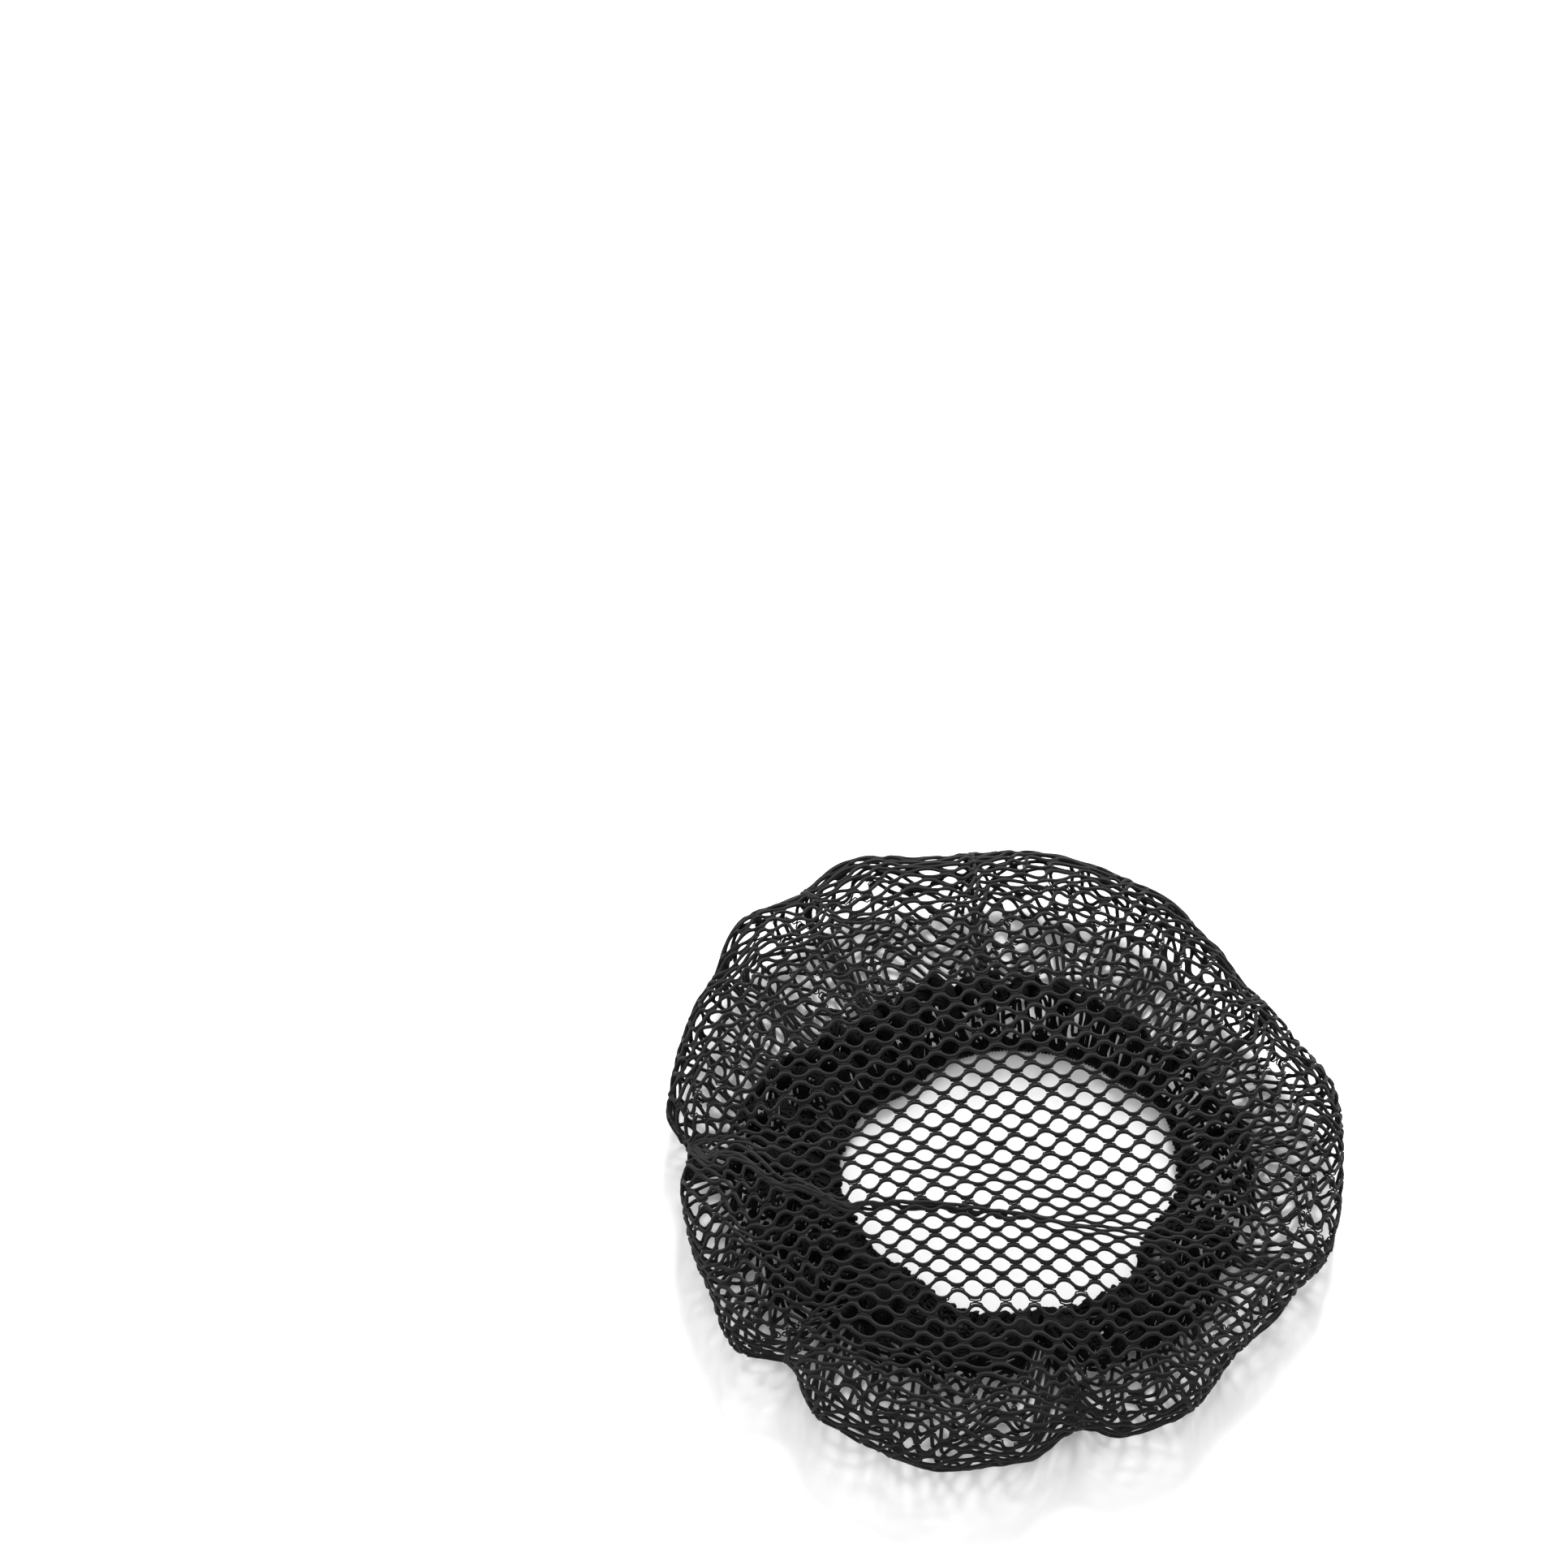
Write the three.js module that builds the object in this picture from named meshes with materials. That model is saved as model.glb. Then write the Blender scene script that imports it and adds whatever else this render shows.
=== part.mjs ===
// A crochet hair snood: a soft net bag lying crown up on its gathered, elastic mouth.
// Millimetres, +Z up. The origin is under the middle of the bag, on the surface that it lies on.
// +X runs to the right and -Y comes to the front.

import * as THREE from 'three';

// The bag
const bagReach = 100; // from the middle out to the widest line of the belly
const crownHeight = 35; // the crown's height over the surface that the snood lies on
const bellyHeight = 15; // height of the belly's widest line
const netWall = 2; // thickness of the knitted net
const crownFullness = 2.7; // 2 is a plain dome, more is a flatter crown with a rounder shoulder
const bellyFullness = 3.4; // the same, for the underside

// The mouth, and the elastic band that draws it in
const mouthReach = 51.5; // from the middle out to the middle of the band
const bandWidth = 4;
const bandHeight = 4;
const bandEdge = 0.8; // bevel along the band's edges
const bandGap = 0.45; // clearance between the band and the net round it

// The gathers that run out from the mouth
const gatherCount = 24;
const gatherHeight = 3.4;
const gatherRun = 0.6; // share of the underside over which they die out
const gatherSwell = 0.15; // share of the underside over which they reach their height
const gatherPinch = 0.35; // share of their height that is left where the band pinches them

// The crest that a crease leaves right across the crown
const crestHeight = 5;
const crestFront = 24; // the front of the crest slopes gently
const crestBack = 9; // and falls away steeply behind
const crestStrong = 0.4; // share of bagReach out to which it keeps its height
const crestFaded = 0.8; // and where it has died out

// Where the tucks over the crown begin, as a share of the way up from the belly's widest line
const tuckStart = 0.12;

// The holes of the net
const holeAcross = 16.5;
const webWidth = 5; // of the net left between neighbouring holes
const crownHoleSides = 8;

// The mesh of the gathered part and of the band
const stepsRound = 96;
const gatherLoops = [0.86, 0.89, 0.92, 0.95, 0.98, 1.0]; // shares of the net's run
const slopeStep = 0.015; // the step, in radians and in shares of the run, that measures a slope
const full = 2 * Math.PI;

// The bag's outline from above, as shares of bagReach. The low rows are the tucks in its edge.
const outline = [
  { degrees: 0, reach: 0.975 },
  { degrees: 14, reach: 0.985 },
  { degrees: 30, reach: 0.925 },
  { degrees: 42, reach: 0.905 },
  { degrees: 52, reach: 0.935 },
  { degrees: 64, reach: 0.985 },
  { degrees: 88, reach: 1.02 },
  { degrees: 104, reach: 1.02 },
  { degrees: 119, reach: 1.09 },
  { degrees: 128, reach: 1.06 },
  { degrees: 138, reach: 1.1 },
  { degrees: 150, reach: 1.035 },
  { degrees: 173, reach: 1.0 },
  { degrees: 182, reach: 0.92 },
  { degrees: 190, reach: 0.95 },
  { degrees: 208, reach: 0.96 },
  { degrees: 220, reach: 1.0 },
  { degrees: 229, reach: 0.915 },
  { degrees: 240, reach: 1.0 },
  { degrees: 260, reach: 1.025 },
  { degrees: 274, reach: 0.98 },
  { degrees: 286, reach: 0.89 },
  { degrees: 294, reach: 0.955 },
  { degrees: 304, reach: 0.965 },
  { degrees: 320, reach: 0.905 },
  { degrees: 334, reach: 0.93 },
  { degrees: 346, reach: 0.98 },
];

// The mouth's outline, as shares of mouthReach: not quite round, with slight corners.
const mouthOutline = [
  { degrees: 0, reach: 1.01 },
  { degrees: 28, reach: 1.03 },
  { degrees: 50, reach: 0.93 },
  { degrees: 90, reach: 0.875 },
  { degrees: 112, reach: 0.86 },
  { degrees: 136, reach: 0.82 },
  { degrees: 160, reach: 0.95 },
  { degrees: 180, reach: 0.98 },
  { degrees: 205, reach: 0.93 },
  { degrees: 232, reach: 0.87 },
  { degrees: 260, reach: 0.94 },
  { degrees: 280, reach: 0.91 },
  { degrees: 300, reach: 0.96 },
  { degrees: 320, reach: 0.98 },
  { degrees: 336, reach: 0.91 },
];

// Tucks that run up from the edge over the crown. Depth is the share of the crown's rise that
// they take away, width is in degrees, and inward is the share of the way up that they reach.
const tucks = [
  { degrees: 36, depth: 0.22, width: 9, inward: 0.6 },
  { degrees: 98, depth: 0.22, width: 6, inward: 0.8 },
  { degrees: 127, depth: 0.2, width: 7, inward: 0.6 },
  { degrees: 182, depth: 0.34, width: 7, inward: 1.0 },
  { degrees: 229, depth: 0.3, width: 6, inward: 0.6 },
  { degrees: 286, depth: 0.32, width: 6, inward: 0.6 },
  { degrees: 342, depth: 0.3, width: 6, inward: 1.0 },
];

// The crest's course over the crown, left to right, as shares of bagReach.
const crestCourse = [
  { across: -0.9, back: -0.02 },
  { across: -0.55, back: -0.16 },
  { across: -0.13, back: -0.26 },
  { across: 0.39, back: -0.36 },
  { across: 0.94, back: -0.32 },
];

// Rings of holes round the crown's middle one, out and under the belly. Down is the share of the
// net's run from the crown's middle to the mouth.
const holeRings = [
  { down: 0.13, holes: 6 },
  { down: 0.26, holes: 12 },
  { down: 0.39, holes: 18 },
  { down: 0.52, holes: 24 },
  { down: 0.65, holes: 27 },
  { down: 0.78, holes: 25 },
];

const smooth = (value) => THREE.MathUtils.smoothstep(value, 0, 1);

// Reads a closed table of reaches at an angle in radians, rounding between its rows.
function reachAt(table, angle) {
  const degrees = THREE.MathUtils.euclideanModulo(THREE.MathUtils.radToDeg(angle), 360);
  const rows = [...table, { degrees: table[0].degrees + 360, reach: table[0].reach }];
  const next = rows.findIndex((row) => row.degrees > degrees);
  const before = rows[next - 1];
  const after = rows[next];
  const along = (degrees - before.degrees) / (after.degrees - before.degrees);
  return THREE.MathUtils.lerp(before.reach, after.reach, smooth(along));
}

// How far an angle lies from a row's own direction, in shares of the row's width.
function offRow(row, angle) {
  const degrees = THREE.MathUtils.radToDeg(angle) - row.degrees;
  const turned = THREE.MathUtils.euclideanModulo(degrees + 180, 360) - 180;
  return turned / row.width;
}

// How far back the crest runs at a place across the crown.
function crestBackAt(across) {
  const next = crestCourse.findIndex((row) => row.across * bagReach > across);
  if (next < 1) {
    return crestCourse[next < 0 ? crestCourse.length - 1 : 0].back * bagReach;
  }
  const before = crestCourse[next - 1];
  const after = crestCourse[next];
  const along = (across / bagReach - before.across) / (after.across - before.across);
  return THREE.MathUtils.lerp(before.back, after.back, smooth(along)) * bagReach;
}

// The rise of the crest at a place on the crown. It dies out towards the bag's edge.
function crestRise(x, y) {
  const behind = y - crestBackAt(x);
  const spread = behind > 0 ? crestBack : crestFront;
  const out = Math.hypot(x, y) / bagReach;
  const inside = 1 - smooth((out - crestStrong) / (crestFaded - crestStrong));
  return crestHeight * inside * Math.exp(-((behind / spread) ** 2));
}

// The middle of the net's wall along one half section, from the crown's middle to the mouth.
class NetSection extends THREE.Curve {
  constructor(angle) {
    super();
    this.angle = angle;
    this.arcLengthDivisions = 200;
  }

  getPoint(t) {
    return t < 0.5 ? this.crownPoint(1 - 2 * t) : this.underPoint(2 * t - 1);
  }

  // From the belly's widest line, up 0, to the crown's middle, up 1.
  crownPoint(up) {
    const turn = (up * Math.PI) / 2;
    const reach = bagReach * reachAt(outline, this.angle) * Math.cos(turn) ** (2 / crownFullness);
    const rise = (crownHeight - netWall / 2 - bellyHeight) * Math.sin(turn) ** (2 / crownFullness);
    const x = reach * Math.cos(this.angle);
    const y = reach * Math.sin(this.angle);
    const height = bellyHeight + rise * (1 - this.tuckShare(up)) + crestRise(x, y);
    return new THREE.Vector3(x, y, height);
  }

  // From the belly's widest line, under 0, to the net's edge at the band, under 1.
  underPoint(under) {
    const turn = (under * Math.PI) / 2;
    const edge = mouthReach * reachAt(mouthOutline, this.angle) + bandWidth / 2 + bandGap;
    const outer = bagReach * reachAt(outline, this.angle);
    const reach = edge + (outer - edge) * Math.cos(turn) ** (2 / bellyFullness);
    const drop = (bellyHeight - netWall / 2) * Math.sin(turn) ** (2 / bellyFullness);
    const x = reach * Math.cos(this.angle);
    const y = reach * Math.sin(this.angle);
    const height = bellyHeight - drop + this.gatherRise((reach - edge) / (outer - edge));
    return new THREE.Vector3(x, y, height);
  }

  // The share of the crown's rise that the tucks take away.
  tuckShare(up) {
    return tucks.reduce((sum, row) => {
      const inward = smooth(up / tuckStart) * (1 - smooth(up / row.inward));
      return sum + row.depth * inward * Math.exp(-(offRow(row, this.angle) ** 2));
    }, 0);
  }

  // Gathers stand up from the underside, highest near the mouth.
  gatherRise(out) {
    const fading = 1 - smooth(out / gatherRun);
    const swelling = gatherPinch + (1 - gatherPinch) * smooth(out / gatherSwell);
    return (gatherHeight * fading * swelling * (1 - Math.cos(gatherCount * this.angle))) / 2;
  }
}

const sections = new Map();

// A place in the middle of the net's wall, at an angle and a share of the run down to the mouth.
function netPoint(angle, down) {
  if (!sections.has(angle)) {
    sections.set(angle, new NetSection(angle));
  }
  return sections.get(angle).getPointAt(THREE.MathUtils.clamp(down, 0, 1));
}

// The direction straight out of the net there.
function netNormal(angle, down) {
  const round = netPoint(angle + slopeStep, down).sub(netPoint(angle - slopeStep, down));
  const along = netPoint(angle, down + slopeStep).sub(netPoint(angle, down - slopeStep));
  return along.cross(round).normalize();
}

// The net as a sheet of triangles. Each place on it is an angle and a share of the run down.
class NetSheet {
  places = [];
  faces = [];
  rims = [];

  place(angle, down) {
    this.places.push({ angle, down });
    return this.places.length - 1;
  }

  loop(count, down, start = 0) {
    return Array.from({ length: count }, (_, i) => this.place(start + (i * full) / count, down));
  }

  // Fills the strip between two closed loops, always stepping on to the nearer corner.
  join(inner, outer) {
    const corner = (loop, i) => loop[i % loop.length];
    const turned = (loop, i) => this.places[corner(loop, i)].angle + full * Math.floor(i / loop.length);
    let i = 0;
    let j = 0;
    while (i < inner.length || j < outer.length) {
      const a = corner(inner, i);
      const b = corner(outer, j);
      const outerIsNearer = turned(outer, j + 1) <= turned(inner, i + 1);
      if (i >= inner.length || (j < outer.length && outerIsNearer)) {
        j += 1;
        this.faces.push([a, b, corner(outer, j)]);
      } else {
        i += 1;
        this.faces.push([a, b, corner(inner, i)]);
      }
    }
  }

  // A ring of holes, each in a cell of its own. Returns the ring's inner and outer loops.
  holeRing(count, down, start) {
    const cellHalf = Math.PI / count;
    const reach = Math.hypot(netPoint(start, down).x, netPoint(start, down).y);
    const holeRadius = holeAcross / 2;
    const run = new NetSection(start).getLength();
    const margin = (holeRadius + webWidth / 4) / run;
    const inner = this.loop(2 * count, down - margin, start - cellHalf);
    const sides = this.loop(count, down, start - cellHalf);
    const outer = this.loop(2 * count, down + margin, start - cellHalf);
    for (let i = 0; i < count; i += 1) {
      const at = start + 2 * i * cellHalf;
      const next = (2 * i + 2) % (2 * count);
      const cell = [
        inner[2 * i + 1],
        inner[2 * i],
        sides[i],
        outer[2 * i],
        outer[2 * i + 1],
        outer[next],
        sides[(i + 1) % count],
        inner[next],
      ];
      const hole = cell.map((_, k) => {
        const turn = Math.PI + (k * full) / cell.length;
        const aside = (holeRadius * Math.sin(turn)) / reach;
        return this.place(at + aside, down + (holeRadius * Math.cos(turn)) / run);
      });
      cell.forEach((corner, k) => {
        const k2 = (k + 1) % cell.length;
        this.faces.push([hole[k], corner, cell[k2]], [hole[k], cell[k2], hole[k2]]);
      });
      this.rims.push(hole);
    }
    return { inner, outer };
  }

  // The closed solid that the sheet becomes when it is bent to the bag and given its wall.
  solid() {
    const count = this.places.length;
    const corners = new Float32Array(6 * count);
    this.places.forEach(({ angle, down }, i) => {
      const middle = netPoint(angle, down);
      const offset = netNormal(angle, down).multiplyScalar(netWall / 2);
      middle.clone().add(offset).toArray(corners, 3 * i);
      middle.clone().sub(offset).toArray(corners, 3 * (i + count));
    });
    const index = this.faces.flatMap(([a, b, c]) => [a, b, c, a + count, c + count, b + count]);
    for (const rim of this.rims) {
      rim.forEach((a, i) => {
        const b = rim[(i + 1) % rim.length];
        index.push(a, b, b + count, a, b + count, a + count);
      });
    }
    const geometry = new THREE.BufferGeometry();
    geometry.setAttribute('position', new THREE.BufferAttribute(corners, 3));
    geometry.setIndex(index);
    geometry.computeVertexNormals();
    return geometry;
  }
}

function netBag() {
  const sheet = new NetSheet();
  const run = new NetSection(0).getLength();
  let edge = sheet.loop(crownHoleSides, holeAcross / 2 / run);
  sheet.rims.push(edge);
  holeRings.forEach((row, index) => {
    const start = index % 2 === 0 ? 0 : Math.PI / row.holes;
    const ring = sheet.holeRing(row.holes, row.down, start);
    sheet.join(edge, ring.inner);
    edge = ring.outer;
  });
  for (const down of gatherLoops) {
    const next = sheet.loop(stepsRound, down);
    sheet.join(edge, next);
    edge = next;
  }
  sheet.rims.push([...edge].reverse());
  return sheet.solid();
}

// The band: a closed ring on the mouth's outline, flat on the surface below.
function elasticBand() {
  const ringPath = (offset) =>
    Array.from({ length: stepsRound }, (_, i) => {
      const angle = (i * full) / stepsRound;
      const reach = mouthReach * reachAt(mouthOutline, angle) + offset;
      return new THREE.Vector2(reach * Math.cos(angle), reach * Math.sin(angle));
    });
  const shape = new THREE.Shape(ringPath(bandWidth / 2 - bandEdge));
  shape.holes.push(new THREE.Path(ringPath(bandEdge - bandWidth / 2)));
  const band = new THREE.ExtrudeGeometry(shape, {
    depth: bandHeight - 2 * bandEdge,
    bevelThickness: bandEdge,
    bevelSize: bandEdge,
    bevelSegments: 1,
  });
  band.translate(0, 0, bandEdge);
  return band;
}

const snood = new THREE.Group();

const bag = new THREE.Mesh(
  netBag(),
  new THREE.MeshStandardMaterial({ color: 0x1b1b1d, roughness: 0.85, metalness: 0 }),
);
bag.name = 'net_bag';
snood.add(bag);

const band = new THREE.Mesh(
  elasticBand(),
  new THREE.MeshStandardMaterial({ color: 0x121213, roughness: 0.8, metalness: 0 }),
);
band.name = 'elastic_band';
snood.add(band);

// The pieces shift together, so that the origin is under the middle of the bag.
const middle = new THREE.Box3().setFromObject(bag).getCenter(new THREE.Vector3());
snood.position.set(-middle.x, -middle.y, 0);

export default snood;
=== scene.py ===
import math

import bmesh
import bpy
import numpy as np
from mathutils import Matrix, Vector


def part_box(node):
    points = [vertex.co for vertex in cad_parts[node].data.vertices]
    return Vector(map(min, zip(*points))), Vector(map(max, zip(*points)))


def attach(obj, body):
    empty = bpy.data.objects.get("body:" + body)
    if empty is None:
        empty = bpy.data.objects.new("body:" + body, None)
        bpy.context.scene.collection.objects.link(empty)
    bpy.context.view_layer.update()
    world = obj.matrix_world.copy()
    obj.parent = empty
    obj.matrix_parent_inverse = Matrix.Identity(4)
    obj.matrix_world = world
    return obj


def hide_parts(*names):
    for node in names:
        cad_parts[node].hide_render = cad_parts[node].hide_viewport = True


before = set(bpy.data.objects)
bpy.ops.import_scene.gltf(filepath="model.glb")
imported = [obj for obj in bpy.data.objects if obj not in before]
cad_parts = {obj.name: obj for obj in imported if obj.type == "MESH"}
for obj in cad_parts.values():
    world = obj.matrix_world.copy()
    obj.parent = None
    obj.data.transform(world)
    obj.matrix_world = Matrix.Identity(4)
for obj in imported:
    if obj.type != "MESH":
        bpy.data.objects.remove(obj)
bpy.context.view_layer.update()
print("frame loaded:", sorted(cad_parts))


# The bag's form, the same as the solid net's, in metres
bagForm = {
    "reach": 0.100,  # middle to the belly's widest line
    "crownHeight": 0.035,
    "bellyHeight": 0.015,
    "wall": 0.002,
    "crownFullness": 2.7,
    "bellyFullness": 3.4,
    "gatherCount": 24,
    "gatherHeight": 0.0034,
    "gatherRun": 0.6,
    "gatherSwell": 0.15,
    "gatherPinch": 0.35,
    "crestHeight": 0.005,
    "crestFront": 0.024,
    "crestBack": 0.009,
    "crestStrong": 0.4,
    "crestFaded": 0.8,
    "tuckStart": 0.12,
    # degrees, share of reach
    "outline": [
        (0, 0.975), (14, 0.985), (30, 0.925), (42, 0.905), (52, 0.935), (64, 0.985), (88, 1.02), (104, 1.02),
        (119, 1.09), (128, 1.06), (138, 1.1), (150, 1.035), (173, 1.0), (182, 0.92), (190, 0.95),
        (208, 0.96), (220, 1.0), (229, 0.915), (240, 1.0), (260, 1.025), (274, 0.98), (286, 0.89),
        (294, 0.955), (304, 0.965), (320, 0.905), (334, 0.93), (346, 0.98),
    ],
    # degrees, depth, width in degrees, share of the way up
    "tucks": [
        (36, 0.22, 9, 0.6), (98, 0.22, 6, 0.8), (127, 0.2, 7, 0.6), (182, 0.34, 7, 1.0),
        (229, 0.3, 6, 0.6), (286, 0.32, 6, 0.6), (342, 0.3, 6, 1.0),
    ],
    # across, back, as shares of reach
    "crestCourse": [(-0.9, -0.02), (-0.55, -0.16), (-0.13, -0.26), (0.39, -0.36), (0.94, -0.32)],
}

mouthForm = {
    "reach": 0.0515,  # middle to the middle of the band
    "bandWidth": 0.004,
    "bandHeight": 0.004,
    "bandGap": 0.00045,
    "outline": [
        (0, 1.01), (28, 1.03), (50, 0.93), (90, 0.875), (112, 0.86), (136, 0.82), (160, 0.95),
        (180, 0.98), (205, 0.93), (232, 0.87), (260, 0.94), (280, 0.91), (300, 0.96), (320, 0.98),
        (336, 0.91),
    ],
}


def smooth(value):
    v = np.clip(value, 0.0, 1.0)
    return v * v * (3 - 2 * v)


def readRows(rows, at):
    # rounds between the rows of a table
    xs = np.array([r[0] for r in rows], float)
    ys = np.array([r[1] for r in rows], float)
    i = np.clip(np.searchsorted(xs, at, side="right"), 1, len(xs) - 1)
    along = (at - xs[i - 1]) / (xs[i] - xs[i - 1])
    return ys[i - 1] + (ys[i] - ys[i - 1]) * smooth(along)


def readRound(rows, angle):
    closed = rows + [(rows[0][0] + 360, rows[0][1])]
    return readRows(closed, np.degrees(angle) % 360)


def crestRise(x, y):
    f = bagForm
    course = readRows(f["crestCourse"], np.clip(x / f["reach"], -0.9, 0.94)) * f["reach"]
    behind = y - course
    spread = np.where(behind > 0, f["crestBack"], f["crestFront"])
    out = np.hypot(x, y) / f["reach"]
    inside = 1 - smooth((out - f["crestStrong"]) / (f["crestFaded"] - f["crestStrong"]))
    return f["crestHeight"] * inside * np.exp(-((behind / spread) ** 2))


def tuckShare(angle, up):
    share = 0.0
    for degrees, depth, width, inward in bagForm["tucks"]:
        off = ((np.degrees(angle) - degrees + 180) % 360 - 180) / width
        run = smooth(up / bagForm["tuckStart"]) * (1 - smooth(up / inward))
        share = share + depth * run * np.exp(-(off ** 2))
    return share


def bagPoint(angle, t):
    # t runs from the crown's middle, 0, over the widest line, 0.5, to the net's edge at the band, 1
    f, m = bagForm, mouthForm
    outer = f["reach"] * readRound(f["outline"], angle)
    edge = m["reach"] * readRound(m["outline"], angle) + m["bandWidth"] / 2 + m["bandGap"]
    up = np.clip(1 - 2 * t, 0, 1)
    under = np.clip(2 * t - 1, 0, 1)
    upTurn, underTurn = up * math.pi / 2, under * math.pi / 2
    topReach = outer * np.clip(np.cos(upTurn), 0, 1) ** (2 / f["crownFullness"])
    x, y = topReach * np.cos(angle), topReach * np.sin(angle)
    rise = (f["crownHeight"] - f["wall"] / 2 - f["bellyHeight"]) * np.sin(upTurn) ** (2 / f["crownFullness"])
    topHeight = f["bellyHeight"] + rise * (1 - tuckShare(angle, up)) + crestRise(x, y)
    lowShare = np.clip(np.cos(underTurn), 0, 1) ** (2 / f["bellyFullness"])
    lowReach = edge + (outer - edge) * lowShare
    drop = (f["bellyHeight"] - f["wall"] / 2) * np.sin(underTurn) ** (2 / f["bellyFullness"])
    fading = 1 - smooth(lowShare / f["gatherRun"])
    swelling = f["gatherPinch"] + (1 - f["gatherPinch"]) * smooth(lowShare / f["gatherSwell"])
    gather = f["gatherHeight"] * fading * swelling * (1 - np.cos(f["gatherCount"] * angle)) / 2
    lowHeight = f["bellyHeight"] - drop + gather
    above = t < 0.5
    reach = np.where(above, topReach, lowReach)
    height = np.where(above, topHeight, lowHeight)
    return np.stack([reach * np.cos(angle), reach * np.sin(angle), height], axis=-1)


# The bag as a grid of places, even along each section, with the way out of the net at each.
gridRound, gridDown, sectionPlaces = 720, 260, 801
angles = np.arange(gridRound) * (2 * math.pi / gridRound)
fine = np.linspace(0, 1, sectionPlaces)
sectionPoints = bagPoint(angles[:, None], np.broadcast_to(fine, (gridRound, fine.size)))
steps = np.linalg.norm(np.diff(sectionPoints, axis=1), axis=2)
runs = np.concatenate([np.zeros((gridRound, 1)), np.cumsum(steps, axis=1)], axis=1)
sectionLength = runs[:, -1]
shares = np.linspace(0, 1, gridDown)
bagGrid = np.empty((gridRound, gridDown, 3))
for i in range(gridRound):
    for k in range(3):
        bagGrid[i, :, k] = np.interp(shares * sectionLength[i], runs[i], sectionPoints[i, :, k])
alongRound = np.roll(bagGrid, -1, axis=0) - np.roll(bagGrid, 1, axis=0)
alongDown = np.gradient(bagGrid, axis=1)
bagOut = np.cross(alongDown, alongRound)
bagOut[:, 0] = (0, 0, 1)
bagOut /= np.linalg.norm(bagOut, axis=2, keepdims=True)
lowCorner = bagGrid.reshape(-1, 3).min(0)
highCorner = bagGrid.reshape(-1, 3).max(0)
netLow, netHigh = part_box("net_bag")
shift = np.array([
    (netLow.x + netHigh.x) / 2 - (lowCorner[0] + highCorner[0]) / 2,
    (netLow.y + netHigh.y) / 2 - (lowCorner[1] + highCorner[1]) / 2,
    0.0,
])
shortest, longest = float(sectionLength.min()), float(sectionLength.max())
print("bag form: section run", round(shortest, 4), "to", round(longest, 4))


def readGrid(grid, angle, share):
    a = (angle / (2 * math.pi)) % 1.0 * gridRound
    s = np.clip(share, 0, 1) * (gridDown - 1)
    i, j = np.floor(a).astype(int) % gridRound, np.minimum(np.floor(s).astype(int), gridDown - 2)
    u, v = (a - np.floor(a))[..., None], (s - j)[..., None]
    i2 = (i + 1) % gridRound
    near = grid[i, j] * (1 - u) + grid[i2, j] * u
    far = grid[i, j + 1] * (1 - u) + grid[i2, j + 1] * u
    return near * (1 - v) + far * v


def runAt(angle):
    closedAngles = np.append(angles, 2 * math.pi)
    closedLengths = np.append(sectionLength, sectionLength[0])
    return np.interp(angle % (2 * math.pi), closedAngles, closedLengths)


# The net
netForm = {
    "column": 0.00445,  # between neighbouring columns of holes
    "row": 0.0077,  # between the holes of one column
    "turnFront": 2.5,  # degrees that the rows rise to the right, before the crest
    "leanFront": 9.0,  # degrees that the columns lean there
    "turnBack": 12.0,  # and behind the crest, where rows and columns turn together
    "turnAt": (0.012, -0.031),  # about this place
    "turnOver": 0.007,  # length over which the one becomes the other
    "turnWide": 0.045,  # out to here, and more gently beyond
    "turnGentle": 0.4,
    "frontSlack": 0.17,  # share by which the rows lie closer in front of the crest
    "slackFrom": -0.030,
    "slackOver": 0.036,
    "cord": 0.00057,  # radius of the knitted cord
    "lace": 0.00026,  # radius of the thin threads that close the holes' sides
    "over": 0.0002,  # how far the cords pass over and under each other
    "strayFrom": 0.045,  # out to here the net lies even
    "strayFull": 0.100,
    "stray": 0.0021,  # how far the loose net strays from even
    # radians with each metre across and back, and where each wave starts
    "strayWaves": [(233, 71, 0.3), (-118, 205, 1.9), (164, -187, 4.1), (-61, -251, 2.6)],
    "looseFrom": 0.062,  # out to here the net is stretched flat
    "looseOver": 0.02,  # length over which it becomes loose
    "loose": 1.5,  # net on each length of the bag's rim
    "rimEnd": 0.110,
    "rimOver": 0.01,
    "underLoose": 1.1,  # net on each length of the underside
    "creasePull": 0.0052,  # how much net the crest's crease takes in
    "creaseWidth": 0.0031,
    "creaseWider": 1.4,  # grows by this share to the right
    "creaseWiderFrom": -0.005,
    "creaseWiderOver": 0.04,
    "creaseFades": 0.5,  # share of the bag's reach, from where it fades out
    # across, back, as shares of the bag's reach
    "creaseCourse": [
        (-0.9, -0.05), (-0.62, -0.22), (-0.44, -0.31), (-0.28, -0.31), (0.05, -0.335), (0.25, -0.355),
        (0.9, -0.32),
    ],
    "creaseDrop": 0.0007,
}

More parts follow.
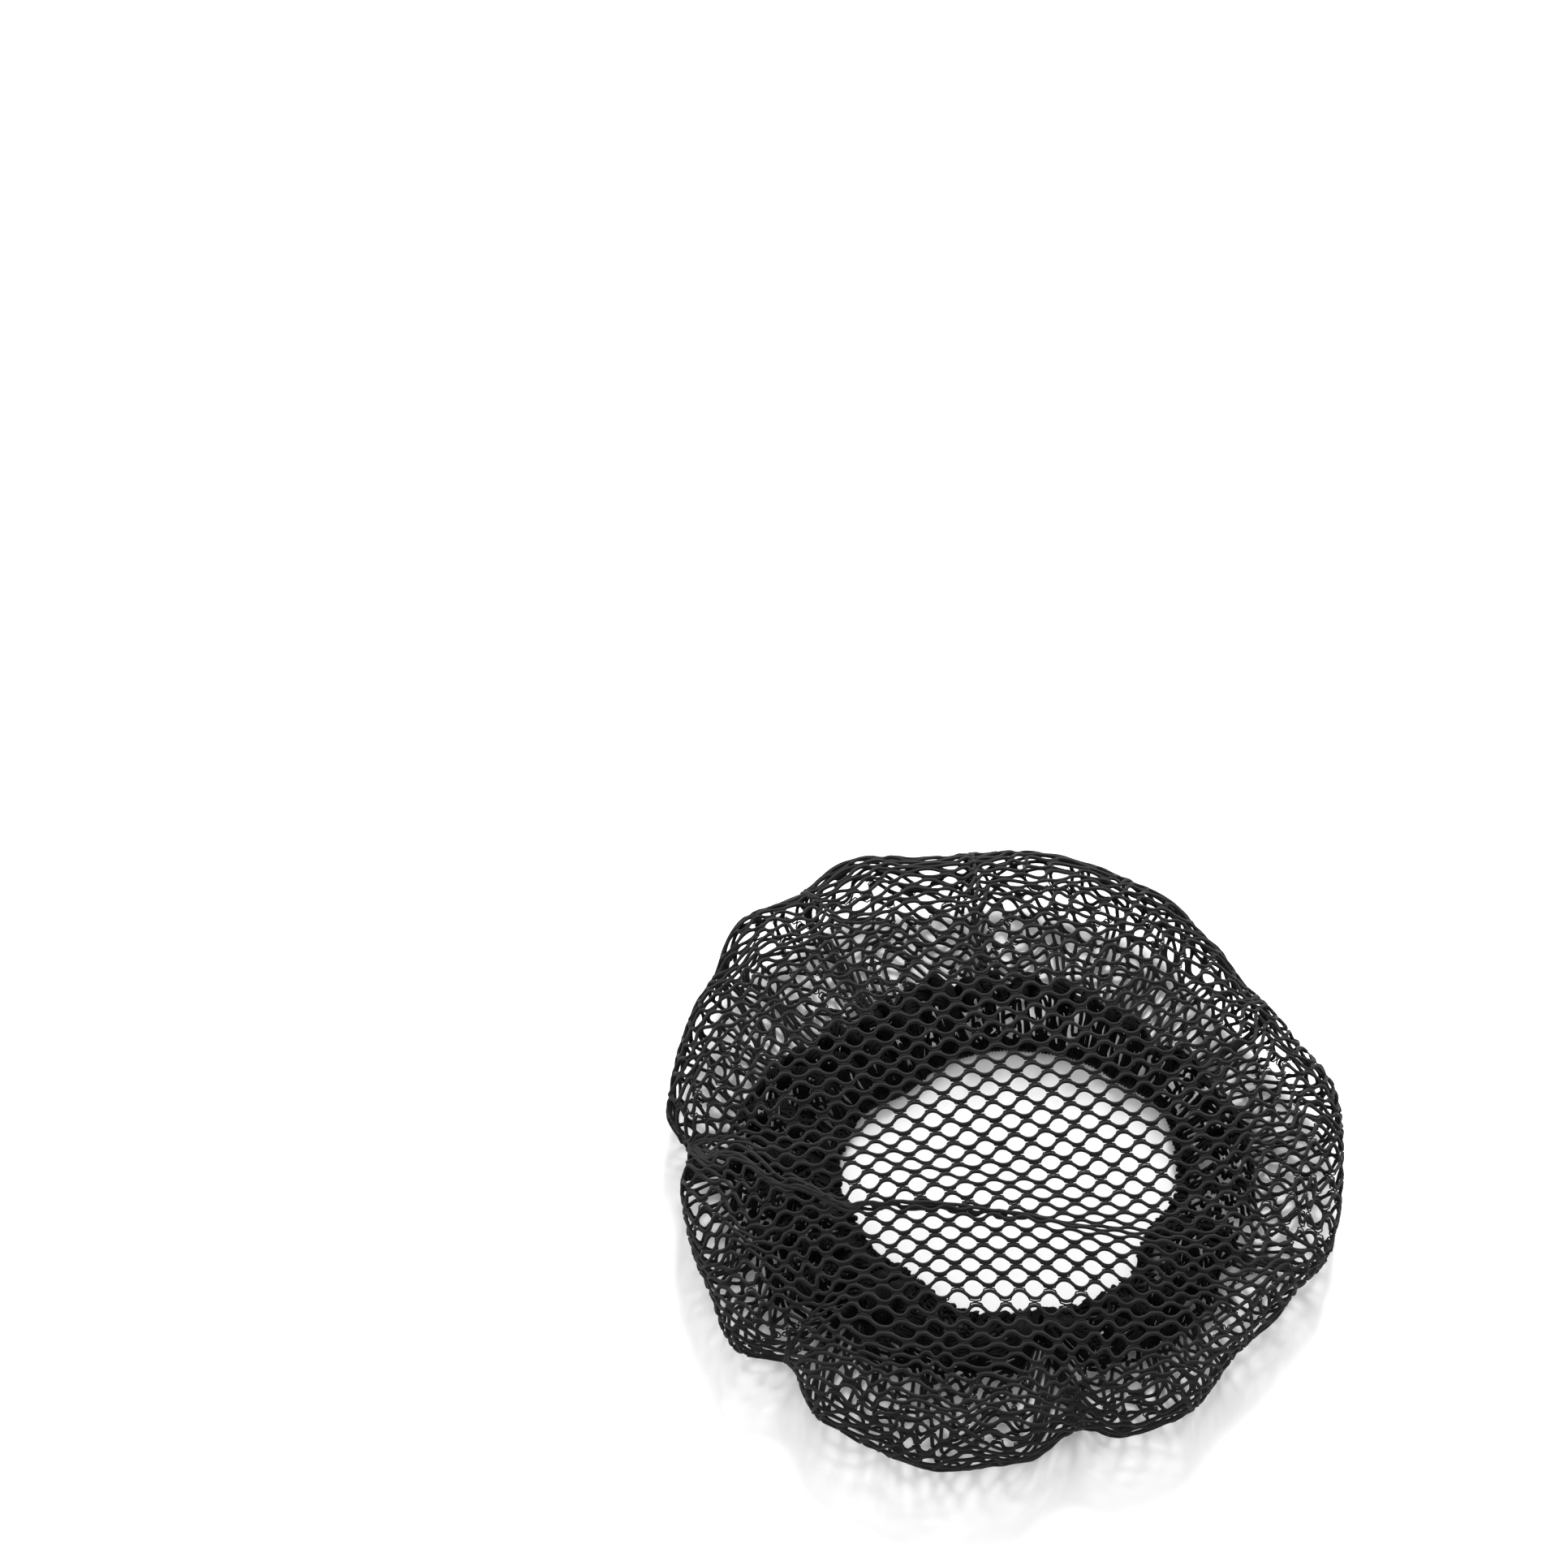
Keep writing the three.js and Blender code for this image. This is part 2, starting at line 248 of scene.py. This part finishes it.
# Near the mouth the elastic bunches the net: more of it lies on each length of the bag.
gatherForm = {
    # degrees, width of the bunched ring
    "width": [
        (0, 0.026), (40, 0.020), (95, 0.024), (135, 0.030), (180, 0.038), (225, 0.036), (270, 0.024),
        (320, 0.028),
    ],
    "bunching": 4.8,  # net on each length of the bag
    "cord": 0.00068,  # bunched cords lie in pairs, so that one stands for more
    "lace": 0.00028,
    "start": 0.012,  # length over which the bunching starts
    "bunchedFrom": 0.3,  # from this share of the bunching on, the net counts as bunched
    "folds": 46,
    # waves round the mouth, radians with each metre out, start, how far it shifts the folds
    "foldSway": [(3, 0, 0.7, 2.2), (7, 60, 0.0, 1.4)],
    "foldOver": 1.2,  # how far each fold leans over the next
    # degrees, height of the folds
    "foldHeight": [(0, 0.0065), (90, 0.0098), (180, 0.0072), (270, 0.0042)],
    "foldRise": 1.3,  # share of that height in the folds' middle
    "foldDepth": 0.35,  # share of that height, up and down from there
    "foldFoot": 0.65,  # share of the folds' height right at the band
    "foldClosing": 0.03,  # share of the section over which the folds close to the band
    "wrapShare": 0.035,  # share of the section that is wrapped over the band
    "wrapRadius": 0.0021,
    "wrapTurn": 150,  # degrees that it reaches round the band
    "wrapRipple": 0.0006,
    "wrapStart": 0.5,  # share of the wrapped run that leads on to the band
    "pleatPull": 5.5,  # degrees of net drawn into each tuck
    "pleatWidth": 4.0,
    "pleatFade": 24.0,  # degrees over which the net beside a tuck gives way
    "pleatFrom": 0.06,  # the tucks draw nothing in nearer the crown's middle
    "pleatOver": 0.04,
    "pleatDeep": 0.3,  # depth of a tuck that pleatPull is meant for
}


def strayed(x, y):
    # slow waves that push the loose net's holes out of line
    n = netForm
    out = np.hypot(x, y)
    amount = n["stray"] * smooth((out - n["strayFrom"]) / (n["strayFull"] - n["strayFrom"]))
    dx = sum(np.sin(a * x + b * y + c) for a, b, c in n["strayWaves"]) / 2
    dy = sum(np.cos(b * x - a * y + 2.1 * c) for a, b, c in n["strayWaves"]) / 2
    return x + amount * dx, y + amount * dy


def eased(value, over):
    # 0 up to 0, then grows to a slope of 1
    v = np.maximum(value, 0)
    return np.where(v < over, v ** 2 / (2 * over), v - over / 2)


def bunched(angle, flatRun):
    # from a run over the flat net to the run over the bag, and how much the net is bunched there
    n, g = netForm, gatherForm
    ringStart = runAt(angle) - readRound(g["width"], angle)
    flatRim = n["looseFrom"] + n["loose"] * (n["rimEnd"] - n["looseFrom"])
    flatStart = flatRim + n["underLoose"] * (ringStart - n["rimEnd"])
    arc = flatRun - (1 - 1 / n["loose"]) * eased(flatRun - n["looseFrom"], n["looseOver"])
    arc = arc - (1 / n["loose"] - 1 / n["underLoose"]) * eased(flatRun - flatRim, n["rimOver"])
    arc = arc - (1 / n["underLoose"] - 1 / g["bunching"]) * eased(flatRun - flatStart, g["start"])
    return arc, smooth((flatRun - flatStart) / (2 * g["start"]))


def pleated(angle, arc):
    # draws the net into the tucks, where it lies three deep
    g = gatherForm
    pull = 0.0
    for degrees, depth, width, inward in bagForm["tucks"]:
        off = (np.degrees(angle) - degrees + 180) % 360 - 180
        start = max(g["pleatFrom"], bagForm["reach"] * (1 - inward))
        strength = depth / g["pleatDeep"] * smooth((arc - start) / g["pleatOver"])
        beside = 1 - smooth(np.abs(off) / g["pleatFade"])
        pull = pull + strength * np.tanh(off / g["pleatWidth"]) * beside
    return angle - np.radians(g["pleatPull"]) * pull


def overBand(angle, along, phase):
    # the net's edge, from the band's outer side over its top to its inner side
    g, m = gatherForm, mouthForm
    turn = np.radians(g["wrapTurn"]) * along
    wrap = g["wrapRadius"] + g["wrapRipple"] * np.sin(2 * phase)
    reach = m["reach"] * readRound(m["outline"], angle) + wrap * np.cos(turn)
    height = m["bandHeight"] / 2 + wrap * np.sin(turn)
    return np.stack([reach * np.cos(angle), reach * np.sin(angle), height], axis=-1)


def onBag(x, y, lift):
    # lays places of the flat net on the bag. Also tells which of them the bag has.
    g = gatherForm
    x, y = strayed(x, y)
    out = np.hypot(x, y)
    turn = np.arctan2(y, x)
    arc, bunch = bunched(turn, out)
    turned = pleated(turn, arc)
    phase = g["folds"] * turn
    for around, outward, start, sway in g["foldSway"]:
        phase = phase + sway * np.sin(around * turn + outward * out + start)
    turned = turned + bunch * g["foldOver"] / (2 * g["folds"]) * np.sin(2 * phase)
    share = arc / runAt(turned)
    ending = g["foldFoot"] + (1 - g["foldFoot"]) * smooth((1 - share) / g["foldClosing"])
    wave = g["foldRise"] - g["foldDepth"] * np.cos(phase)
    rise = bunch * ending * readRound(g["foldHeight"], turned) * wave
    place = readGrid(bagGrid, turned, share)
    way = readGrid(bagOut, turned, share)
    way = way / np.linalg.norm(way, axis=-1, keepdims=True)
    place = place + way * lift[..., None] + rise[..., None] * np.array([0, 0, 1.0])
    along = (share - 1 + g["wrapShare"]) / g["wrapShare"]
    wrapped = overBand(turned, np.clip(along, 0, 1), phase)
    held = smooth(along / g["wrapStart"])[..., None]
    place = place * (1 - held) + wrapped * held + shift
    return place, share <= 1.0, out, bunch


def waveRow(count):
    # one wave of a cord, from one column of holes to the next but one: across, up
    column, row = netForm["column"], netForm["row"]
    around = math.hypot(column, row / 2) / 2
    lean = math.atan2(row / 2, column)
    quarter = [lean + (math.pi / 2 - lean) * i / count for i in range(count + 1)]
    hill = [(-around * math.cos(a), around * math.sin(a) - row / 4) for a in quarter]
    hill += [(-x, y) for x, y in reversed(hill[:-1])]
    valley = [(x + column, -y) for x, y in hill[1:-1]]
    return np.array(hill + valley)


flatReach = 0.29  # out to here the flat net is knitted


def cordRuns(arcSteps):
    # the cords, as runs of flat places: across, up and lift
    wave = waveRow(arcSteps)
    column, row = netForm["column"], netForm["row"]
    count = int(flatReach / (row / 2))
    waves = int(flatReach / (2 * column)) + 1
    for k in range(-count, count):
        middle = (k + 0.5) * row / 2
        begin = (k % 2) * column
        xs = np.concatenate([wave[:, 0] + begin + 2 * column * n for n in range(-waves, waves)])
        ys = np.tile(wave[:, 1], 2 * waves)
        side = 1 if k % 2 else -1
        yield xs, ys + middle, side * netForm["over"] * np.sin(ys / (row / 4) * math.pi / 2)


# One of the thin threads: across and up from where two cords meet, in millimetres
laceCourse = [(-2.15, 1.75), (-1.5, 0.42), (0.0, 0.1), (1.5, 0.42), (2.15, 1.75)]


def laceRuns():
    # where two cords meet, a pair of thin threads runs between them and closes the holes at the sides
    column, row = netForm["column"], netForm["row"]
    rows, columns = int(flatReach / row) + 1, int(flatReach / column) + 1
    along, aside = np.array(laceCourse).T * 0.001
    for i in range(-columns, columns + 1):
        for j in range(-rows, rows + 1):
            x = i * column
            y = j * row + (row / 2 if i % 2 == 0 else 0.0)
            yield x + along, y + aside, 0 * along
            yield x + along, y - aside, 0 * along


def creaseAt(x):
    # where the crest's crease runs, at a place across the bag
    reach = bagForm["reach"]
    return readRows(netForm["creaseCourse"], np.clip(x / reach, -0.9, 0.9)) * reach


def turnedFlat(x, y):
    # the rows rise to the right, more steeply behind the crease
    n = netForm
    rise, lean, turn = (np.radians(n[key]) for key in ("turnFront", "leanFront", "turnBack"))
    slack = n["frontSlack"] * np.clip(n["slackFrom"] - y, 0, n["slackOver"])
    atX, atY = n["turnAt"]
    x, y = x - atX, y - atY
    frontX = atX + x * np.cos(rise) - y * np.sin(lean)
    frontY = atY + x * np.sin(rise) + y * np.cos(lean) + slack
    backX = atX + x * np.cos(turn) - y * np.sin(turn)
    backY = atY + x * np.sin(turn) + y * np.cos(turn)
    over = n["turnOver"] + n["turnGentle"] * np.maximum(np.abs(frontX) - n["turnWide"], 0)
    behind = smooth((frontY - creaseAt(frontX)) / over + 0.5)
    return frontX + (backX - frontX) * behind, frontY + (backY - frontY) * behind


def creased(x, y):
    # draws the crown's net into the crest's crease, its front part on top
    n = netForm
    widening = smooth((x - n["creaseWiderFrom"]) / n["creaseWiderOver"])
    wide = n["creaseWidth"] * (1 + n["creaseWider"] * widening)
    off = (y - creaseAt(x)) / wide
    fades = n["creaseFades"]
    here = 1 - smooth((np.hypot(x, y) / bagForm["reach"] - fades) / (1 - fades))
    drop = -n["creaseDrop"] * here * np.tanh(1.5 * off) * np.exp(-((off / 2.5) ** 2))
    return y - n["creasePull"] * here * np.tanh(off), drop


def isPart(out, bunch, low, high, isBunched):
    # which places are in a ring of the flat net, of its bunched or its open part
    return (out >= low) & (out < high) & ((bunch >= gatherForm["bunchedFrom"]) == isBunched)


def laidRuns(flatRuns, regions):
    # lays the runs on the bag and shares them out between the regions: from, to, bunched or not
    laid = [[] for _ in regions]
    for xs, ys, lift in flatRuns:
        if np.hypot(xs, ys).min() > flatReach:
            continue
        x, y = turnedFlat(xs, ys)
        y, drop = creased(x, y)
        place, there, out, bunch = onBag(x, y, lift + drop)
        for runsHere, (low, high, isBunched) in zip(laid, regions):
            inside = there & isPart(out, bunch, low, high, isBunched)
            edges = np.diff(np.concatenate([[0], inside.astype(int), [0]]))
            for start, end in zip(np.flatnonzero(edges == 1), np.flatnonzero(edges == -1)):
                if end < len(inside) and there[end]:
                    end += 1
                if end - start > 1:
                    runsHere.append(place[start:end])
    return laid


def cordMesh(name, bundles):
    # bundles: (runs, radius, extra sides). Each run becomes a closed round cord.
    joined = bmesh.new()
    for runsHere, radius, extraSides in bundles:
        curve = bpy.data.curves.new(name + "Path", "CURVE")
        curve.dimensions = "3D"
        curve.bevel_depth = radius
        curve.bevel_resolution = extraSides
        curve.use_fill_caps = True
        for run in runsHere:
            spline = curve.splines.new("POLY")
            spline.points.add(len(run) - 1)
            spline.points.foreach_set("co", np.column_stack([run, np.ones(len(run))]).ravel())
        holder = bpy.data.objects.new(name + "Path", curve)
        bpy.context.scene.collection.objects.link(holder)
        bpy.context.view_layer.update()
        graph = bpy.context.evaluated_depsgraph_get()
        made = bpy.data.meshes.new_from_object(holder.evaluated_get(graph))
        joined.from_mesh(made)
        bpy.data.objects.remove(holder)
        bpy.data.curves.remove(curve)
        bpy.data.meshes.remove(made)
    bmesh.ops.remove_doubles(joined, verts=joined.verts, dist=1e-6)  # closes the cords' ends
    mesh = bpy.data.meshes.new(name)
    joined.to_mesh(mesh)
    joined.free()
    mesh.polygons.foreach_set("use_smooth", [True] * len(mesh.polygons))
    piece = bpy.data.objects.new(name, mesh)
    bpy.context.scene.collection.objects.link(piece)
    return piece


# Materials
def newMaterial(name):
    material = bpy.data.materials.new(name)
    material.use_nodes = True
    tree = material.node_tree
    tree.nodes.clear()
    out = tree.nodes.new("ShaderNodeOutputMaterial")
    shader = tree.nodes.new("ShaderNodeBsdfPrincipled")
    tree.links.new(shader.outputs["BSDF"], out.inputs["Surface"])
    return material, tree, shader


yarnGrain = {
    "detail": 5,
    "roughness": 0.65,
    "patchScale": 38,
    "patchDetail": 3,
    "fibreShare": 0.6,
    "patchShare": 0.4,
    "spread": (0.35, 0.68),  # from dark to light
    "gloss": (0.62, 0.88),  # least and most roughness
    "height": 0.0002,
}


def yarnGroup():
    group = bpy.data.node_groups.new("yarnFinish", "ShaderNodeTree")
    group.interface.new_socket("Dark", in_out="INPUT", socket_type="NodeSocketColor")
    group.interface.new_socket("Light", in_out="INPUT", socket_type="NodeSocketColor")
    group.interface.new_socket("Fibre Scale", in_out="INPUT", socket_type="NodeSocketFloat")
    group.interface.new_socket("Fuzz", in_out="INPUT", socket_type="NodeSocketFloat")
    group.interface.new_socket("Color", in_out="OUTPUT", socket_type="NodeSocketColor")
    group.interface.new_socket("Roughness", in_out="OUTPUT", socket_type="NodeSocketFloat")
    group.interface.new_socket("Normal", in_out="OUTPUT", socket_type="NodeSocketVector")
    nodes, links = group.nodes, group.links
    inputs = nodes.new("NodeGroupInput")
    outputs = nodes.new("NodeGroupOutput")
    coords = nodes.new("ShaderNodeTexCoord")
    fibres = nodes.new("ShaderNodeTexNoise")
    fibres.inputs["Detail"].default_value = yarnGrain["detail"]
    fibres.inputs["Roughness"].default_value = yarnGrain["roughness"]
    links.new(coords.outputs["Object"], fibres.inputs["Vector"])
    links.new(inputs.outputs["Fibre Scale"], fibres.inputs["Scale"])
    patches = nodes.new("ShaderNodeTexNoise")
    patches.inputs["Scale"].default_value = yarnGrain["patchScale"]
    patches.inputs["Detail"].default_value = yarnGrain["patchDetail"]
    links.new(coords.outputs["Object"], patches.inputs["Vector"])
    mixed = nodes.new("ShaderNodeMath")
    mixed.operation = "MULTIPLY_ADD"
    mixed.inputs[1].default_value = yarnGrain["fibreShare"]
    links.new(fibres.outputs["Fac"], mixed.inputs[0])
    scaled = nodes.new("ShaderNodeMath")
    scaled.operation = "MULTIPLY"
    scaled.inputs[1].default_value = yarnGrain["patchShare"]
    links.new(patches.outputs["Fac"], scaled.inputs[0])
    links.new(scaled.outputs[0], mixed.inputs[2])
    spread = nodes.new("ShaderNodeMapRange")
    spread.inputs["From Min"].default_value = yarnGrain["spread"][0]
    spread.inputs["From Max"].default_value = yarnGrain["spread"][1]
    links.new(mixed.outputs[0], spread.inputs["Value"])
    colour = nodes.new("ShaderNodeMix")
    colour.data_type = "RGBA"
    links.new(spread.outputs["Result"], colour.inputs["Factor"])
    links.new(inputs.outputs["Dark"], colour.inputs["A"])
    links.new(inputs.outputs["Light"], colour.inputs["B"])
    links.new(colour.outputs["Result"], outputs.inputs["Color"])
    rough = nodes.new("ShaderNodeMapRange")
    rough.inputs["To Min"].default_value = yarnGrain["gloss"][0]
    rough.inputs["To Max"].default_value = yarnGrain["gloss"][1]
    links.new(fibres.outputs["Fac"], rough.inputs["Value"])
    links.new(rough.outputs["Result"], outputs.inputs["Roughness"])
    bump = nodes.new("ShaderNodeBump")
    bump.inputs["Distance"].default_value = yarnGrain["height"]
    links.new(inputs.outputs["Fuzz"], bump.inputs["Strength"])
    links.new(fibres.outputs["Fac"], bump.inputs["Height"])
    links.new(bump.outputs["Normal"], outputs.inputs["Normal"])
    return group


yarnFinish = yarnGroup()


def yarnMaterial(name, look):
    material, tree, shader = newMaterial(name)
    finish = tree.nodes.new("ShaderNodeGroup")
    finish.node_tree = yarnFinish
    finish.inputs["Dark"].default_value = (*look["dark"], 1)
    finish.inputs["Light"].default_value = (*look["light"], 1)
    finish.inputs["Fibre Scale"].default_value = look["fibreScale"]
    finish.inputs["Fuzz"].default_value = look["fuzz"]
    tree.links.new(finish.outputs["Color"], shader.inputs["Base Color"])
    tree.links.new(finish.outputs["Roughness"], shader.inputs["Roughness"])
    tree.links.new(finish.outputs["Normal"], shader.inputs["Normal"])
    shader.inputs["Sheen Weight"].default_value = look["sheen"]
    shader.inputs["Sheen Roughness"].default_value = 0.5
    shader.inputs["Specular IOR Level"].default_value = look["specular"]
    return material


netLook = {
    "dark": (0.0017, 0.0017, 0.0018),
    "light": (0.0072, 0.0072, 0.0077),
    "fibreScale": 2600,
    "fuzz": 0.6,
    "sheen": 0.045,
    "specular": 0.17,
}
netYarn = yarnMaterial("netYarn", netLook)
# The bunched net: the same black yarn in a darker copy, with less sheen and specular, as painted shade for
# the shade deep in the gathered folds
shadedGatheredLook = {
    **netLook,
    "dark": (0.0008, 0.0008, 0.0009),
    "light": (0.0035, 0.0035, 0.0038),
    "sheen": 0.015,
    "specular": 0.07,
}
shadedGatheredYarn = yarnMaterial("shadedGatheredYarn", shadedGatheredLook)

# The net's pieces
# Each piece is a ring of the flat net, from one radius to the next.
openCords = {"bunched": False, "arcSteps": 3, "sides": 1}
bunchedCords = {"bunched": True, "arcSteps": 2, "sides": 0}
netPieces = [
    {"name": "crownNet", "on": "bellyNet", "from": 0.0, "to": 0.092, **openCords},
    {"name": "bellyNet", "on": "sideNet", "from": 0.092, "to": 0.124, **openCords},
    {"name": "sideNet", "on": "underNet", "from": 0.124, "to": 0.148, **openCords},
    {"name": "underNet", "on": "gatheredNet", "from": 0.148, "to": 0.3, **openCords},
    {"name": "gatheredNet", "on": "mouthNet", "from": 0.1, "to": 0.208, **bunchedCords},
    {"name": "mouthNet", "on": "elasticBand", "from": 0.208, "to": 0.3, **bunchedCords},
]
netCut = {
    "step": 0.002,  # between the places that measure the flat net
    "cover": 0.5,  # share of the flat net that is cord, the rest is its holes
    "coverBunched": 0.44,  # the same where half of the lacings are left out
}


def flatCut(low, high, isBunched):
    # the strip of flat net that a piece is made of: its length and width, and its area without the holes
    step = netCut["step"]
    side = np.arange(-flatReach, flatReach, step)
    x, y = np.meshgrid(side, side)
    place, there, out, bunch = onBag(x, y, 0 * x)
    inside = there & isPart(out, bunch, low, high, isBunched)
    area = inside.sum() * step ** 2
    cover = netCut["coverBunched" if isBunched else "cover"]
    if low == 0:
        return (2 * high, 2 * high), area * cover
    length = 2 * math.pi * out[inside].mean()
    return (length, area / length), area * cover


def regionsOf(pieces):
    return [(p["from"], p["to"], p["bunched"]) for p in pieces]


laid = {}
for steps in {p["arcSteps"] for p in netPieces}:
    group = [p for p in netPieces if p["arcSteps"] == steps]
    for p, cords in zip(group, laidRuns(cordRuns(steps), regionsOf(group))):
        laid[p["name"]] = cords
laces = laidRuns(laceRuns(), regionsOf(netPieces))
for p, lacesHere in zip(netPieces, laces):
    cordsHere = laid[p["name"]]
    if p["bunched"]:
        lacesHere = [run[::2] for run in lacesHere[::2] if len(run) > 2]  # most of them are hidden
    yarn = gatherForm if p["bunched"] else netForm
    piece = cordMesh(p["name"], [(cordsHere, yarn["cord"], p["sides"]), (lacesHere, yarn["lace"], 0)])
    # bunched pieces take the darker copy of the yarn, painted shade for their folds
    piece.data.materials.append(shadedGatheredYarn if p["bunched"] else netYarn)
    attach(piece, "root")
    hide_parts("net_bag")
    flat, area = flatCut(p["from"], p["to"], p["bunched"])
    surface = sum(f.area for f in piece.data.polygons) / 2
    print(p["name"], "cut flat", [round(v, 3) for v in flat], "cord area", round(area, 4))
    print(p["name"], "laid area", round(surface, 4), "or", round(surface / area, 2), "times the cut's")
    triangles = sum(len(f.vertices) - 2 for f in piece.data.polygons)
    print(p["name"], len(cordsHere), "cords,", len(lacesHere), "lacings,", triangles, "triangles")

# The elastic band
bandLook = {
    "dark": (0.0015, 0.0015, 0.0017),
    "light": (0.006, 0.006, 0.0065),
    "fibreScale": 3000,
    "fuzz": 0.7,
    "sheen": 0.03,
    "specular": 0.15,
}
bandForm = {
    "core": 0.0014,  # radius of the elastic under its yarn
    "wrap": 0.0016,  # radius of the turns round it
    "yarn": 0.00034,
    "turns": 280,
    "turnSteps": 8,
    "coreSteps": 240,
}


def bandPath(angle):
    reach = mouthForm["reach"] * readRound(mouthForm["outline"], angle)
    height = np.full_like(angle, mouthForm["bandHeight"] / 2)
    return np.stack([reach * np.cos(angle), reach * np.sin(angle), height], axis=-1) + shift


coreAngles = np.linspace(0, 2 * math.pi, bandForm["coreSteps"] + 1)
wrapAngles = np.linspace(0, 2 * math.pi, bandForm["turns"] * bandForm["turnSteps"] + 1)
wrapTurn = wrapAngles * bandForm["turns"]
outward = np.stack([np.cos(wrapAngles), np.sin(wrapAngles), np.zeros_like(wrapAngles)], axis=-1)
upward = np.array([0, 0, 1.0])
wrapPath = bandPath(wrapAngles) + bandForm["wrap"] * (
    outward * np.cos(wrapTurn)[:, None] + upward * np.sin(wrapTurn)[:, None]
)
bandCore = ([bandPath(coreAngles)], bandForm["core"], 3)
bandYarn = ([wrapPath], bandForm["yarn"], 1)
band = cordMesh("elasticBand", [bandCore, bandYarn])
band.data.materials.append(yarnMaterial("bandYarn", bandLook))
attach(band, "root")
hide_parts("elastic_band")
print("elastic band:", len(band.data.polygons), "faces")

# The floor
floorLook = {"size": 30.0, "colour": (0.86, 0.86, 0.86), "roughness": 0.6}
floorMesh = bpy.data.meshes.new("floor")
floorShape = bmesh.new()
bmesh.ops.create_grid(floorShape, x_segments=1, y_segments=1, size=floorLook["size"] / 2)
floorShape.to_mesh(floorMesh)
floorShape.free()
floor = bpy.data.objects.new("floor", floorMesh)
bpy.context.scene.collection.objects.link(floor)
floorMaterial, floorTree, floorShader = newMaterial("paleFloor")
floorShader.inputs["Base Color"].default_value = (*floorLook["colour"], 1)
floorShader.inputs["Roughness"].default_value = floorLook["roughness"]
floorMesh.materials.append(floorMaterial)

# Light
lightForm = {
    "key": {"place": (0.1, 1.05, 0.85), "size": 0.45, "watts": 34},
    "fill": {"place": (-0.7, -0.6, 1.1), "size": 1.2, "watts": 4},
    "surround": 1.07,
}


def addLight(name, form):
    lamp = bpy.data.lights.new(name, "AREA")
    lamp.size = form["size"]
    lamp.energy = form["watts"]
    holder = bpy.data.objects.new(name, lamp)
    holder.location = form["place"]
    holder.rotation_euler = (-Vector(form["place"])).to_track_quat("-Z", "Y").to_euler()
    bpy.context.scene.collection.objects.link(holder)


addLight("key", lightForm["key"])
addLight("fill", lightForm["fill"])
world = bpy.data.worlds.new("studio")
world.use_nodes = True
world.node_tree.nodes["Background"].inputs["Color"].default_value = (1, 1, 1, 1)
world.node_tree.nodes["Background"].inputs["Strength"].default_value = lightForm["surround"]
bpy.context.scene.world = world
bpy.context.scene.view_settings.view_transform = "Standard"

# Camera
view = {
    "frame": (1932, 1929),
    "snoodAt": (1235, 1454),  # where the bag's middle stands in the frame
    "perPixel": 0.0002372,  # metres at the snood
    "elevation": 60.5,
    "lens": 200.0,
    "sensor": 36.0,
}


def aimCamera():
    wide, high = view["frame"]
    focal = view["lens"] / view["sensor"] * wide
    across = (view["snoodAt"][0] - wide / 2) / focal
    up = (high / 2 - view["snoodAt"][1]) / focal
    slope = math.radians(view["elevation"])
    stretch = math.sqrt(1 + across * across + up * up)
    pitch = math.asin(math.sin(slope) * stretch / math.sqrt(1 + up * up)) + math.atan(up)
    yaw = math.atan2(across, up * math.sin(pitch) + math.cos(pitch))
    distance = view["perPixel"] * focal * stretch
    camera = bpy.data.cameras.new("camera")
    camera.lens = view["lens"]
    camera.sensor_width = view["sensor"]
    camera.clip_start = 0.01
    holder = bpy.data.objects.new("camera", camera)
    holder.location = (0, -distance * math.cos(slope), distance * math.sin(slope))
    holder.rotation_euler = (math.pi / 2 - pitch, 0, yaw)
    bpy.context.scene.collection.objects.link(holder)
    bpy.context.scene.camera = holder


aimCamera()
